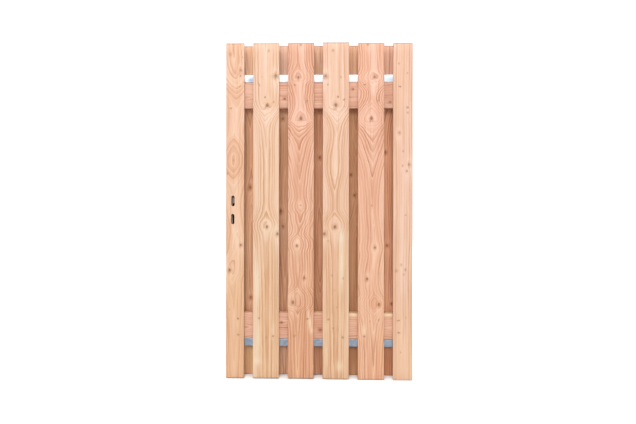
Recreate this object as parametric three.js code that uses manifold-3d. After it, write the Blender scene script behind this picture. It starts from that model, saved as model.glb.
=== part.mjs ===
// Board-on-board garden gate leaf: a welded box-tube frame with two wooden rails,
// six front boards and five rear boards, and a narrow mortise lock in the latch stile.
// Millimetres, +Z up, the front faces -Y. The origin is at the middle of the leaf's base.
import * as THREE from "three";
import { mergeVertices } from "three/addons/utils/BufferGeometryUtils.js";
import Module from "manifold-3d";

// ---- Driving dimensions (x is first counted from the leaf's left edge, seen from the front)
const LEAF_W = 1000;
const BOARD_T = 16; // thickness of every board
const CORE = 40; // distance between the front and the rear boards
const GAP = 0.3; // clearance between touching pieces
// front boards: left, right, bottom, top
const FRONT = [
  [0, 97, 3, 1803],
  [145.5, 285.5, 4, 1803],
  [334, 472.5, 4, 1803.5],
  [521, 661, 3, 1806],
  [709, 849, 1, 1801.5],
  [897.5, 1000, 0, 1801],
];
// rear boards: centre, width, bottom, top
const REAR = [
  [134, 140, 2, 1802],
  [310, 140, 3, 1803],
  [496.5, 140, 2, 1802],
  [685, 140, 1, 1802],
  [866, 140, 1, 1801],
];
const TUBE = 40; // frame tube, outside
const TUBE_D = CORE - 2 * GAP; // its depth between the boards
const TUBE_WALL = 2;
const TUBE_R = 3.5; // outside corner radius
const STILE_L = 18; // outer face of the latch stile
const STILE_R = 982; // outer face of the hinge stile
const FRAME_Z0 = 170;
const FRAME_Z1 = 1636;
const RAIL_H = 140;
const RAIL_UP_Z = 1455; // underside of the upper wooden rail
const RAIL_LOW_Z = 211; // underside of the lower wooden rail
// hinge sleeves welded through the hinge stile
const SLEEVE_Z = [1400, 400];
const SLEEVE_OR = 13;
const SLEEVE_IR = 8.5; // takes an M16 hinge bolt
// lock
const AXIS_X = 43; // spindle and cylinder axis, 25 mm behind the forend's face
const SPINDLE_Z = 936;
const CYL_Z = 864; // 72 mm below the spindle
const SPINDLE_SQ = 8.2;
const FOREND_W = 24;
const FOREND_T = 3;
const FOREND_Z0 = 770;
const FOREND_Z1 = 1015;
const CASE = { x0: 20.3, x1: 55, y0: -7.5, y1: 7.5, z0: 812, z1: 982, wall: 1.5 };
const LATCH_Z = 957;
const LATCH_H = 24;
const LATCH_W = 12;
const LATCH_TRAVEL = 10.5;
const ARM_R = 21; // follower arm, axis to tip
const ARM_REST = -14.5; // degrees, leaning towards the forend at rest
const BOLT_Z = 888;
const BOLT_H = 24;
const BOLT_W = 12;
const BOLT_THROW = 20;
// cut-outs through the first board: left, right, bottom, top
const HANDLE_SLOT = [28, 46.6, 926, 984];
const CYL_SLOT = [27, 45, 829, 885];
// wood screws: x, z, in the order of the boards
const SCREWS = [
  ["upper", 1, 26, 1453], ["upper", 1, 75, 1571],
  ["upper", 2, 174.5, 1582], ["upper", 2, 256, 1486],
  ["upper", 3, 369, 1578], ["upper", 3, 437, 1493],
  ["upper", 4, 548, 1580], ["upper", 4, 634, 1497],
  ["upper", 5, 745, 1578], ["upper", 5, 818, 1494],
  ["upper", 6, 934, 1568], ["upper", 6, 974, 1457],
  ["lower", 1, 68, 322], ["lower", 1, 70, 236],
  ["lower", 2, 180, 327], ["lower", 2, 255, 231],
  ["lower", 3, 441, 325], ["lower", 3, 368, 232],
  ["lower", 4, 551, 322], ["lower", 4, 628, 228],
  ["lower", 5, 820, 322], ["lower", 5, 742, 233],
  ["lower", 6, 929, 320], ["lower", 6, 931, 254],
];
const SCREW_SHANK_R = 2.2;
const SCREW_HEAD_R = 4.4;
const SCREW_HEAD_H = 4;
const SCREW_SINK = 2.6; // the head lies this far below the board's face
const SCREW_DEPTH = 26; // how far it reaches into the rail

// ---- Derived positions
const X = (x) => x - LEAF_W / 2;
const Y_FRONT = -(CORE / 2 + BOARD_T);
const Y_CORE = CORE / 2;
const wasm = await Module();
wasm.setup();

// ---- Solids
function solid(geometry) {
  const g = geometry.index ? geometry.toNonIndexed() : geometry.clone();
  for (const name of Object.keys(g.attributes))
    if (name !== "position") g.deleteAttribute(name);
  const m = mergeVertices(g, 1e-4);
  return new wasm.Manifold(
    new wasm.Mesh({
      numProp: 3,
      vertProperties: m.attributes.position.array,
      triVerts: new Uint32Array(m.index.array),
    }),
  );
}
function geometryOf(s) {
  const m = s.getMesh();
  return new THREE.BufferGeometry()
    .setAttribute("position", new THREE.BufferAttribute(m.vertProperties, 3))
    .setIndex(new THREE.BufferAttribute(m.triVerts, 1));
}
// A box given by its corners, x counted from the leaf's left edge.
function box(x0, x1, y0, y1, z0, z1) {
  return solid(
    new THREE.BoxGeometry(x1 - x0, y1 - y0, z1 - z0).translate(
      X((x0 + x1) / 2), (y0 + y1) / 2, (z0 + z1) / 2,
    ),
  );
}
// A cylinder between two radii along an axis, centred on its length.
function cyl(axis, r0, r1, length, sides, x, y, z) {
  const g = new THREE.CylinderGeometry(r1, r0, length, sides);
  if (axis === "x") g.rotateZ(-Math.PI / 2);
  if (axis === "z") g.rotateX(Math.PI / 2);
  return solid(g.translate(X(x), y, z));
}
function roundedRect(w, h, r, steps) {
  const s = new THREE.Shape();
  s.moveTo(-w / 2 + r, -h / 2);
  s.lineTo(w / 2 - r, -h / 2);
  s.absarc(w / 2 - r, -h / 2 + r, r, -Math.PI / 2, 0, false);
  s.lineTo(w / 2, h / 2 - r);
  s.absarc(w / 2 - r, h / 2 - r, r, 0, Math.PI / 2, false);
  s.lineTo(-w / 2 + r, h / 2);
  s.absarc(-w / 2 + r, h / 2 - r, r, Math.PI / 2, Math.PI, false);
  s.lineTo(-w / 2, -h / 2 + r);
  s.absarc(-w / 2 + r, -h / 2 + r, r, Math.PI, 1.5 * Math.PI, false);
  return new THREE.ExtrudeGeometry(s, {
    depth: 1, bevelEnabled: false, curveSegments: steps,
  });
}
// A rounded bar or opening that runs along Y from y0 to y1.
function slotY(x0, x1, z0, z1, y0, y1, r, steps = 5) {
  const g = roundedRect(x1 - x0, z1 - z0, r, steps);
  g.scale(1, 1, y1 - y0);
  g.rotateX(Math.PI / 2); // the profile's height becomes Z, its depth runs to -Y
  return solid(g.translate(X((x0 + x1) / 2), y1, (z0 + z1) / 2));
}
// Box tube along Z, with rounded corners and open ends.
function tubeZ(x0, x1, z0, z1) {
  const outer = roundedRect(x1 - x0, TUBE_D, TUBE_R, 3).scale(1, 1, z1 - z0);
  const inner = roundedRect(
    x1 - x0 - 2 * TUBE_WALL, TUBE_D - 2 * TUBE_WALL, TUBE_R - TUBE_WALL, 2,
  ).scale(1, 1, z1 - z0 + 2);
  const at = X((x0 + x1) / 2);
  return solid(outer.translate(at, 0, z0)).subtract(
    solid(inner.translate(at, 0, z0 - 1)),
  );
}
// Box tube along X.
function tubeX(x0, x1, z0) {
  const outer = roundedRect(TUBE, TUBE_D, TUBE_R, 3).scale(1, 1, x1 - x0);
  const inner = roundedRect(
    TUBE - 2 * TUBE_WALL, TUBE_D - 2 * TUBE_WALL, TUBE_R - TUBE_WALL, 2,
  ).scale(1, 1, x1 - x0 + 2);
  outer.rotateY(Math.PI / 2).translate(X(x0), 0, z0 + TUBE / 2);
  inner.rotateY(Math.PI / 2).translate(X(x0 - 1), 0, z0 + TUBE / 2);
  return solid(outer).subtract(solid(inner));
}

// ---- Materials
const mat = (color, roughness, metalness) =>
  new THREE.MeshStandardMaterial({ color, roughness, metalness });
const materials = {
  front: mat(0xe9b892, 0.7, 0),
  rear: mat(0xb98360, 0.75, 0),
  rail: mat(0xe0a688, 0.75, 0),
  zinc: mat(0xb9c2ca, 0.45, 0.85),
  cap: mat(0x2a2b2d, 0.6, 0),
  stainless: mat(0xc8c9c8, 0.35, 1),
  plated: mat(0xaeb0b2, 0.4, 1),
  spring: mat(0x8c8f92, 0.35, 1),
  screw: mat(0x7d7a72, 0.45, 1),
};

const gate = new THREE.Group();
const groups = {};
function add(group, name, s, material) {
  if (!groups[group]) {
    groups[group] = new THREE.Group();
    gate.add(groups[group]);
  }
  const mesh = new THREE.Mesh(geometryOf(s), material.clone());
  mesh.name = name;
  groups[group].add(mesh);
}

// ---- Front boards, with the screws' countersunk holes and the lock's two cut-outs
// A board's long front and rear edges are eased by a small chamfer.
function board(x0, x1, y0, y1, z0, z1) {
  const c = 1.6;
  const s = new THREE.Shape();
  s.moveTo(x0 + c, y0);
  s.lineTo(x1 - c, y0);
  s.lineTo(x1, y0 + c);
  s.lineTo(x1, y1 - c);
  s.lineTo(x1 - c, y1);
  s.lineTo(x0 + c, y1);
  s.lineTo(x0, y1 - c);
  s.lineTo(x0, y0 + c);
  s.closePath();
  const g = new THREE.ExtrudeGeometry(s, { depth: z1 - z0, bevelEnabled: false });
  return solid(g.translate(X(0), 0, z0));
}
FRONT.forEach(([x0, x1, z0, z1], i) => {
  let s = board(x0, x1, Y_FRONT, -Y_CORE, z0, z1);
  for (const [, n, x, z] of SCREWS) {
    if (n !== i + 1) continue;
    s = s.subtract(cyl("y", SCREW_SHANK_R + 0.3, SCREW_SHANK_R + 0.3, BOARD_T + 2, 8, x, Y_FRONT + BOARD_T / 2, z));
    // the head's seat: straight down to the head, then its cone
    s = s.subtract(cyl("y", SCREW_HEAD_R + 0.3, SCREW_HEAD_R + 0.3, SCREW_SINK + 1, 8, x, Y_FRONT + (SCREW_SINK - 1) / 2, z));
    s = s.subtract(
      cyl("y", SCREW_HEAD_R + 0.3, SCREW_SHANK_R + 0.3, SCREW_HEAD_H, 8, x, Y_FRONT + SCREW_SINK + SCREW_HEAD_H / 2, z),
    );
  }
  if (i === 0) {
    const [a, b, c, d] = HANDLE_SLOT;
    s = s.subtract(slotY(a, b, c, d, Y_FRONT - 1, -Y_CORE + 1, (b - a) / 2 - 0.05, 6));
    const [e, f, g, h] = CYL_SLOT;
    s = s.subtract(slotY(e, f, g, h, Y_FRONT - 1, -Y_CORE + 1, (f - e) / 2 - 0.05, 6));
  }
  add("boards", "front_board_" + (i + 1), s, materials.front);
});

// ---- Rear boards
REAR.forEach(([xc, w, z0, z1], i) => {
  add("boards", "rear_board_" + (i + 1), board(xc - w / 2, xc + w / 2, Y_CORE, Y_CORE + BOARD_T, z0, z1), materials.rear);
});

// ---- Wooden rails between the stiles, with the screws' blind holes
const railX0 = STILE_L + TUBE + GAP;
const railX1 = STILE_R - TUBE - GAP;
for (const [name, z0] of [["upper", RAIL_UP_Z], ["lower", RAIL_LOW_Z]]) {
  let s = box(railX0, railX1, -TUBE_D / 2, TUBE_D / 2, z0, z0 + RAIL_H);
  for (const [which, n, x, z] of SCREWS) {
    if (which !== name || x < railX0 + 6 || x > railX1 - 6) continue;
    s = s.subtract(cyl("y", SCREW_SHANK_R + 0.3, SCREW_SHANK_R + 0.3, SCREW_DEPTH + 2, 8, x, -TUBE_D / 2 - 1 + (SCREW_DEPTH + 2) / 2, z));
  }
  add("frame", name + "_wood_rail", s, materials.rail);
}

// ---- Steel frame
function stileScrewHole(s, x, z) {
  return s.subtract(cyl("y", SCREW_SHANK_R + 0.3, SCREW_SHANK_R + 0.3, 8, 8, x, -TUBE_D / 2, z));
}
let latchStile = tubeZ(STILE_L, STILE_L + TUBE, FRAME_Z0, FRAME_Z1);
let hingeStile = tubeZ(STILE_R - TUBE, STILE_R, FRAME_Z0, FRAME_Z1);
for (const [, , x, z] of SCREWS) {
  if (x > STILE_L && x < STILE_L + TUBE) latchStile = stileScrewHole(latchStile, x, z);
  if (x > STILE_R - TUBE && x < STILE_R) hingeStile = stileScrewHole(hingeStile, x, z);
}
// lock openings: the mortise in the outer face, spindle and cylinder holes front and rear
latchStile = latchStile
  .subtract(box(STILE_L - 1, STILE_L + TUBE_WALL + 0.5, CASE.y0 - 0.8, CASE.y1 + 0.8, CASE.z0 - 1, CASE.z1 + 1))
  .subtract(cyl("y", 8, 8, TUBE_D + 2, 16, AXIS_X, 0, SPINDLE_Z))
  .subtract(slotY(AXIS_X - 6.5, AXIS_X + 9.5, 836, 880, -TUBE_D / 2 - 1, TUBE_D / 2 + 1, 7.9, 5));
for (const z of [FOREND_Z0 + 12, FOREND_Z1 - 12])
  latchStile = latchStile.subtract(cyl("x", 2.2, 2.2, 8, 8, STILE_L, 0, z));
for (const z of SLEEVE_Z)
  hingeStile = hingeStile.subtract(cyl("x", SLEEVE_OR + GAP, SLEEVE_OR + GAP, TUBE + 2, 20, STILE_R - TUBE / 2, 0, z));
add("frame", "latch_stile", latchStile, materials.zinc);
add("frame", "hinge_stile", hingeStile, materials.zinc);
add("frame", "frame_top_tube", tubeX(railX0, railX1, FRAME_Z1 - TUBE), materials.zinc);
add("frame", "frame_bottom_tube", tubeX(railX0, railX1, FRAME_Z0), materials.zinc);

// ---- End plugs in the stiles: a flat head over the tube's end and a block inside it
function plug(x0, z, up) {
  const head = roundedRect(TUBE - 1, TUBE_D - 1, TUBE_R - 0.5, 3).scale(1, 1, 3);
  const core = roundedRect(TUBE - 2 * TUBE_WALL - 0.8, TUBE_D - 2 * TUBE_WALL - 0.8, 1, 2).scale(1, 1, 14);
  const at = X(x0 + TUBE / 2);
  head.translate(at, 0, up ? z + GAP : z - GAP - 3);
  core.translate(at, 0, up ? z + GAP - 13 : z - GAP - 1);
  return solid(head).add(solid(core));
}
add("frame", "cap_latch_top", plug(STILE_L, FRAME_Z1, true), materials.cap);
add("frame", "cap_latch_bottom", plug(STILE_L, FRAME_Z0, false), materials.cap);
add("frame", "cap_hinge_top", plug(STILE_R - TUBE, FRAME_Z1, true), materials.cap);
add("frame", "cap_hinge_bottom", plug(STILE_R - TUBE, FRAME_Z0, false), materials.cap);

// ---- Hinge sleeves
["upper", "lower"].forEach((n, i) => {
  const x = STILE_R - TUBE / 2;
  const s = cyl("x", SLEEVE_OR, SLEEVE_OR, TUBE, 20, x, 0, SLEEVE_Z[i]).subtract(
    cyl("x", SLEEVE_IR, SLEEVE_IR, TUBE + 2, 16, x, 0, SLEEVE_Z[i]),
  );
  add("frame", "hinge_sleeve_" + n, s, materials.zinc);
});

// ---- Lock: forend
{
  let s = box(STILE_L - FOREND_T, STILE_L - GAP, -FOREND_W / 2, FOREND_W / 2, FOREND_Z0, FOREND_Z1)
    .subtract(box(0, 30, -LATCH_W / 2 - 0.4, LATCH_W / 2 + 0.4, LATCH_Z - LATCH_H / 2 - 0.4, LATCH_Z + LATCH_H / 2 + 0.4))
    .subtract(box(0, 30, -BOLT_W / 2 - 0.4, BOLT_W / 2 + 0.4, BOLT_Z - BOLT_H / 2 - 0.4, BOLT_Z + BOLT_H / 2 + 0.4));
  for (const z of [FOREND_Z0 + 12, FOREND_Z1 - 12]) {
    s = s.subtract(cyl("x", 2.4, 2.4, 8, 12, STILE_L, 0, z))
      .subtract(cyl("x", 4.5, 2.4, 2.4, 12, STILE_L - FOREND_T + 1.2, 0, z))
      .subtract(cyl("x", 4.5, 4.5, 1, 12, STILE_L - FOREND_T - 0.5, 0, z));
  }
  add("lock", "lock_forend", s, materials.stainless);
}
// ---- Lock case: a tray with its base at the rear, and a cover plate at the front
const spindleHole = (r) => cyl("y", r, r, 40, 16, AXIS_X, 0, SPINDLE_Z);
const cylinderHole = () =>
  cyl("y", 8.8, 8.8, 40, 16, AXIS_X, 0, CYL_Z).add(slotY(AXIS_X - 5.2, AXIS_X + 5.2, 839, CYL_Z, -20, 20, 5.1, 4));
{
  const w = CASE.wall;
  let s = box(CASE.x0, CASE.x1, CASE.y0 + w + GAP, CASE.y1, CASE.z0, CASE.z1)
    .subtract(box(CASE.x0 + w, CASE.x1 - w, CASE.y0, CASE.y1 - w, CASE.z0 + w, CASE.z1 - w))
    .subtract(box(0, 30, -LATCH_W / 2 - 0.15, LATCH_W / 2 + 0.15, LATCH_Z - LATCH_H / 2 - 0.3, LATCH_Z + LATCH_H / 2 + 0.3))
    .subtract(box(0, 30, -BOLT_W / 2 - 0.15, BOLT_W / 2 + 0.15, BOLT_Z - BOLT_H / 2 - 0.3, BOLT_Z + BOLT_H / 2 + 0.3))
    .subtract(spindleHole(6.9))
    .subtract(cylinderHole());
  add("lock", "lock_case", s, materials.plated);
  const c = box(CASE.x0, CASE.x1, CASE.y0, CASE.y0 + w, CASE.z0, CASE.z1)
    .subtract(spindleHole(6.9))
    .subtract(cylinderHole());
  add("lock", "lock_cover", c, materials.plated);
}
// ---- Follower: a hub with a square hole for the spindle and an arm that draws the latch
{
  const hub = cyl("y", 6.5, 6.5, 15, 16, AXIS_X, 0, SPINDLE_Z);
  const collar = cyl("y", 8.5, 8.5, 10, 16, AXIS_X, 0, SPINDLE_Z);
  const arm = new THREE.BoxGeometry(4, 5, ARM_R - 2)
    .translate(0, 0, (ARM_R - 2) / 2 + 2)
    .rotateY((ARM_REST * Math.PI) / 180)
    .translate(X(AXIS_X), 0, SPINDLE_Z);
  const tip = new THREE.CylinderGeometry(2, 2, 5, 12)
    .translate(0, 0, 0);
  const a = (ARM_REST * Math.PI) / 180;
  tip.translate(X(AXIS_X) + ARM_R * Math.sin(a), 0, SPINDLE_Z + ARM_R * Math.cos(a));
  const s = hub.add(collar).add(solid(arm)).add(solid(tip))
    .subtract(box(AXIS_X - SPINDLE_SQ / 2, AXIS_X + SPINDLE_SQ / 2, -10, 10, SPINDLE_Z - SPINDLE_SQ / 2, SPINDLE_Z + SPINDLE_SQ / 2));
  add("lock", "follower", s, materials.plated);
}
// ---- Latch bolt: a bevelled head, a tail above the arm and a hook behind the arm's tip
{
  const w = LATCH_W / 2 - 0.3;
  const z0 = LATCH_Z - LATCH_H / 2;
  const z1 = LATCH_Z + LATCH_H / 2;
  const head = new THREE.Shape();
  head.moveTo(X(4), -w);
  head.lineTo(X(28), -w);
  head.lineTo(X(28), w);
  head.lineTo(X(15.5), w);
  head.lineTo(X(5), -w + 2.4);
  head.lineTo(X(4), -w + 1.2);
  head.closePath();
  const g = new THREE.ExtrudeGeometry(head, { depth: z1 - z0, bevelEnabled: false }).translate(0, 0, z0);
  const tipX = AXIS_X + ARM_R * Math.sin((ARM_REST * Math.PI) / 180);
  const s = solid(g)
    .add(box(27, tipX + 4.8, -3, 3, 960.4, 964))
    .add(box(tipX + 2.4, tipX + 4.8, -3, 3, 955.8, 964));
  add("lock", "latch_bolt", s, materials.stainless);
}
// ---- Latch spring: a compression coil between the latch head and the case's rear wall
{
  class Helix extends THREE.Curve {
    getPoint(t, target = new THREE.Vector3()) {
      const turns = 7, r = 2.3, x0 = 28.9, x1 = 52.6, a = t * turns * 2 * Math.PI;
      return target.set(X(x0 + (x1 - x0) * t), r * Math.cos(a), 967.6 + r * Math.sin(a));
    }
  }
  const wire = new THREE.Shape();
  for (let i = 0; i < 5; i++) {
    const a = (i / 5) * 2 * Math.PI;
    if (i) wire.lineTo(0.4 * Math.cos(a), 0.4 * Math.sin(a));
    else wire.moveTo(0.4, 0);
  }
  wire.closePath();
  const g = new THREE.ExtrudeGeometry(wire, { steps: 63, extrudePath: new Helix(), bevelEnabled: false });
  add("lock", "latch_spring", solid(g), materials.spring);
}
// ---- Deadbolt, flush with the forend when drawn back
{
  const w = BOLT_W / 2 - 0.3;
  const s = box(STILE_L - FOREND_T, 50, -w, w, BOLT_Z - BOLT_H / 2, BOLT_Z + BOLT_H / 2);
  // notch in the underside, which the cylinder's cam enters
  add("lock", "deadbolt", s.subtract(box(38, 46, -4, 4, BOLT_Z - BOLT_H / 2 - 1, BOLT_Z - BOLT_H / 2 + 5)), materials.stainless);
}
// ---- Leaf spring that presses on the deadbolt and holds it where it is thrown
{
  const s = new THREE.Shape();
  const z = BOLT_Z + BOLT_H / 2;
  s.moveTo(X(24), z + 9.3);
  s.lineTo(X(24), z + 8.5);
  s.lineTo(X(38), z + 0.4);
  s.lineTo(X(50), z + 5.2);
  s.lineTo(X(50), z + 6);
  s.lineTo(X(38), z + 1.2);
  s.closePath();
  const g = new THREE.ExtrudeGeometry(s, { depth: 6, bevelEnabled: false }).rotateX(Math.PI / 2).translate(0, 3, 0);
  add("lock", "deadbolt_leaf_spring", solid(g), materials.spring);
}
// ---- Forend screws: countersunk, with a hexagonal socket
["lower", "upper"].forEach((n, i) => {
  const z = [FOREND_Z0 + 12, FOREND_Z1 - 12][i];
  const x = STILE_L - FOREND_T;
  const s = cyl("x", 4.1, 2.1, 2.1, 12, x + 1.25, 0, z)
    .add(cyl("x", 2, 2, 12, 12, x + 7, 0, z))
    .subtract(cyl("x", 1.2, 1.2, 3, 6, x + 0.2, 0, z));
  add("lock", "forend_screw_" + n, s, materials.stainless);
});

// ---- Wood screws: countersunk head with a socket, shank and point
const counts = {};
for (const [which, n, x, z] of SCREWS) {
  const key = which + "_" + n;
  counts[key] = (counts[key] || 0) + 1;
  const y = Y_FRONT + SCREW_SINK + 0.1;
  const inStile = x < railX0 + 6 || x > railX1 - 6;
  const tipY = inStile ? -TUBE_D / 2 + TUBE_WALL + 6 : -TUBE_D / 2 + SCREW_DEPTH - 1;
  const head = cyl("y", SCREW_HEAD_R, SCREW_SHANK_R, SCREW_HEAD_H - 0.3, 8, x, y + (SCREW_HEAD_H - 0.3) / 2, z);
  const len = tipY - (y + SCREW_HEAD_H - 1);
  const shank = cyl("y", SCREW_SHANK_R, SCREW_SHANK_R, len - 5, 8, x, y + SCREW_HEAD_H - 1 + (len - 5) / 2, z);
  const point = cyl("y", SCREW_SHANK_R, 0.5, 5, 8, x, tipY - 2.5, z);
  const s = head.add(shank).add(point)
    .subtract(cyl("y", 1.5, 1.5, 3, 6, x, y + 0.6, z));
  add("screws", "screw_" + key + (counts[key] === 1 ? "a" : "b"), s, materials.screw);
}

export default gate;
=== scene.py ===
# Board-on-board garden gate leaf: detailed boards, rails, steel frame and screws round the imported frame.
import bpy, bmesh, math, random
from mathutils import Matrix, Vector, noise


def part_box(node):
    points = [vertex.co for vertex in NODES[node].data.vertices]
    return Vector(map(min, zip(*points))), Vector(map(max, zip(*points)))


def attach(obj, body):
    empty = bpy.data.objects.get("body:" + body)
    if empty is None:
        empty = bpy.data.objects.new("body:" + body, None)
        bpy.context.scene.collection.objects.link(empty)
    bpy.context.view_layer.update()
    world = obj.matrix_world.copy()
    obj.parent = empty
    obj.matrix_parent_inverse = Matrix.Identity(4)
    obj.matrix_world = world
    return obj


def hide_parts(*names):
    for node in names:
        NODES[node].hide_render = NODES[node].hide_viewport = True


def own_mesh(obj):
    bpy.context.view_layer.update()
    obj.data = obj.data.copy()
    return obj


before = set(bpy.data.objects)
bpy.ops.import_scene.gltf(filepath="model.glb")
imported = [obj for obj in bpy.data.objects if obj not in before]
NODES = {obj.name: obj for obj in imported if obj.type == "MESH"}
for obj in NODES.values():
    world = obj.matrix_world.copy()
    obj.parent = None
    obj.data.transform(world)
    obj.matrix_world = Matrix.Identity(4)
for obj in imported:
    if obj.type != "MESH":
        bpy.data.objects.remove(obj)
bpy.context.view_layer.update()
scene = bpy.context.scene
MM = 0.001

# ---------------------------------------------------------------- layout, millimetres in the row frame
FRONT = {  # left, right, bottom, top
    1: (-500, -403, 3, 1803), 2: (-354.5, -214.5, 4, 1803), 3: (-166, -27.5, 4, 1803.5),
    4: (21, 161, 3, 1806), 5: (209, 349, 1, 1801.5), 6: (397.5, 500, 0, 1801),
}
REAR = {1: (-436, -296, 2, 1802), 2: (-260, -120, 3, 1803), 3: (-73.5, 66.5, 2, 1802), 4: (115, 255, 1, 1802), 5: (296, 436, 1, 1801)}
T = 16.0
YF = -36.0
YC = 20.0
SCREWS = []
for n, o in sorted(NODES.items()):
    if n.startswith("screw_"):
        lo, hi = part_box(n)
        SCREWS.append((n, (lo[0] + hi[0]) * 500, (lo[2] + hi[2]) * 500, lo[1] * 1000, hi[1] * 1000))
SINK = min(s[3] for s in SCREWS) - YF


def srgb(r, g, b):
    def f(c):
        c /= 255.0
        return c / 12.92 if c <= 0.04045 else ((c + 0.055) / 1.055) ** 2.4
    return (f(r), f(g), f(b), 1.0)


# ---------------------------------------------------------------- node helpers
class Tree:
    def __init__(self, nt):
        self.nt = nt

    def put(self, node, i, v):
        if v is None:
            return
        if isinstance(v, (int, float)):
            node.inputs[i].default_value = float(v)
        elif isinstance(v, (tuple, list)):
            node.inputs[i].default_value = v
        else:
            self.nt.links.new(v, node.inputs[i])

    def m(self, op, a, b=None, c=None, clamp=False):
        n = self.nt.nodes.new("ShaderNodeMath")
        n.operation = op
        n.use_clamp = clamp
        for i, v in enumerate((a, b, c)):
            self.put(n, i, v)
        return n.outputs[0]

    def add(self, a, b): return self.m("ADD", a, b)
    def sub(self, a, b): return self.m("SUBTRACT", a, b)
    def mul(self, a, b): return self.m("MULTIPLY", a, b)
    def div(self, a, b): return self.m("DIVIDE", a, b)
    def mad(self, a, b, c): return self.m("MULTIPLY_ADD", a, b, c)

    def step(self, v, lo, hi, out0=0.0, out1=1.0):
        n = self.nt.nodes.new("ShaderNodeMapRange")
        n.interpolation_type = "SMOOTHSTEP"
        n.clamp = True
        self.put(n, "Value", v)
        n.inputs["From Min"].default_value = lo
        n.inputs["From Max"].default_value = hi
        n.inputs["To Min"].default_value = out0
        n.inputs["To Max"].default_value = out1
        return n.outputs["Result"]

    def xyz(self, x, y, z):
        n = self.nt.nodes.new("ShaderNodeCombineXYZ")
        for i, v in enumerate((x, y, z)):
            self.put(n, i, v)
        return n.outputs[0]

    def noise(self, vec, scale=1.0, detail=2.0, rough=0.5, dims="3D"):
        n = self.nt.nodes.new("ShaderNodeTexNoise")
        n.noise_dimensions = dims
        self.put(n, "Vector", vec)
        n.inputs["Scale"].default_value = scale
        n.inputs["Detail"].default_value = detail
        n.inputs["Roughness"].default_value = rough
        return n.outputs["Fac"]

    def mix(self, f, a, b, mode="MIX"):
        n = self.nt.nodes.new("ShaderNodeMix")
        n.data_type = "RGBA"
        n.blend_type = mode
        n.clamp_factor = True
        self.put(n, 0, f)
        self.put(n, 6, a)
        self.put(n, 7, b)
        return n.outputs[2]

    def curve(self, v, pts):
        n = self.nt.nodes.new("ShaderNodeFloatCurve")
        self.put(n, "Value", v)
        c = n.mapping.curves[0]
        n.mapping.use_clip = False
        while len(c.points) < len(pts):
            c.points.new(0.5, 0.5)
        for p, (x, y) in zip(c.points, sorted(pts)):
            p.location = (x, y)
            p.handle_type = "AUTO_CLAMPED"
        n.mapping.update()
        return n.outputs[0]


def branch_knot(t, x, y, z, kx, kz, r, spread, rise):
    """One knot: how far it pushes the grain aside, how far it lifts the rings, its brown body and its dark heart."""
    yy = t.add(y, 36.0)
    dx = t.mad(yy, 0.10, t.sub(x, kx))
    dz = t.mad(yy, -0.16, t.sub(z, kz))
    low = t.step(dz, -0.6 * r, 0.6 * r, 1.0, 0.0)  # the grain trails further below a knot than above it
    ax = t.mul(dx, 1.0 / (2.2 * r))
    az = t.div(dz, t.mad(low, 3.0 * r, 3.6 * r))
    g1 = t.m("EXPONENT", t.mul(t.mad(ax, ax, t.mul(az, az)), -1.0))
    push = t.mul(t.mul(dx, g1), -spread)
    bx = t.mul(t.m("SQRT", t.mad(dx, dx, 4.0)), 1.0 / (1.35 * r))
    bz = t.div(dz, t.mad(low, 1.2 * r, 2.1 * r))
    g2 = t.m("EXPONENT", t.mul(t.mad(bx, t.mad(bx, 0.5, 0.5), t.mul(bz, bz)), -1.0))
    lift = t.mul(g2, r * rise)
    wob = t.sub(t.noise(t.xyz(t.mad(dx, 0.13, kx), t.mul(yy, 0.05), t.mul(dz, 0.10)), 1.0, 3.0, 0.6), 0.5)
    rho = t.mad(wob, 0.45, t.mul(t.m("SQRT", t.mad(dx, dx, t.mul(t.mul(dz, dz), 0.58))), 0.86 / r))
    heart = t.step(rho, 0.72, 0.30)
    q = t.mul(t.sub(rho, 0.86), 7.0)
    rim = t.mul(t.m("EXPONENT", t.mul(t.mul(q, q), -1.0)), t.step(dz, 0.9 * r, -0.5 * r, 0.25, 0.75))
    body = t.m("MAXIMUM", t.mul(t.step(rho, 1.05, 0.45), 0.62), rim)
    halo = t.mul(g1, t.step(rho, 1.0, 1.9))
    return push, lift, body, heart, halo


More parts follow.
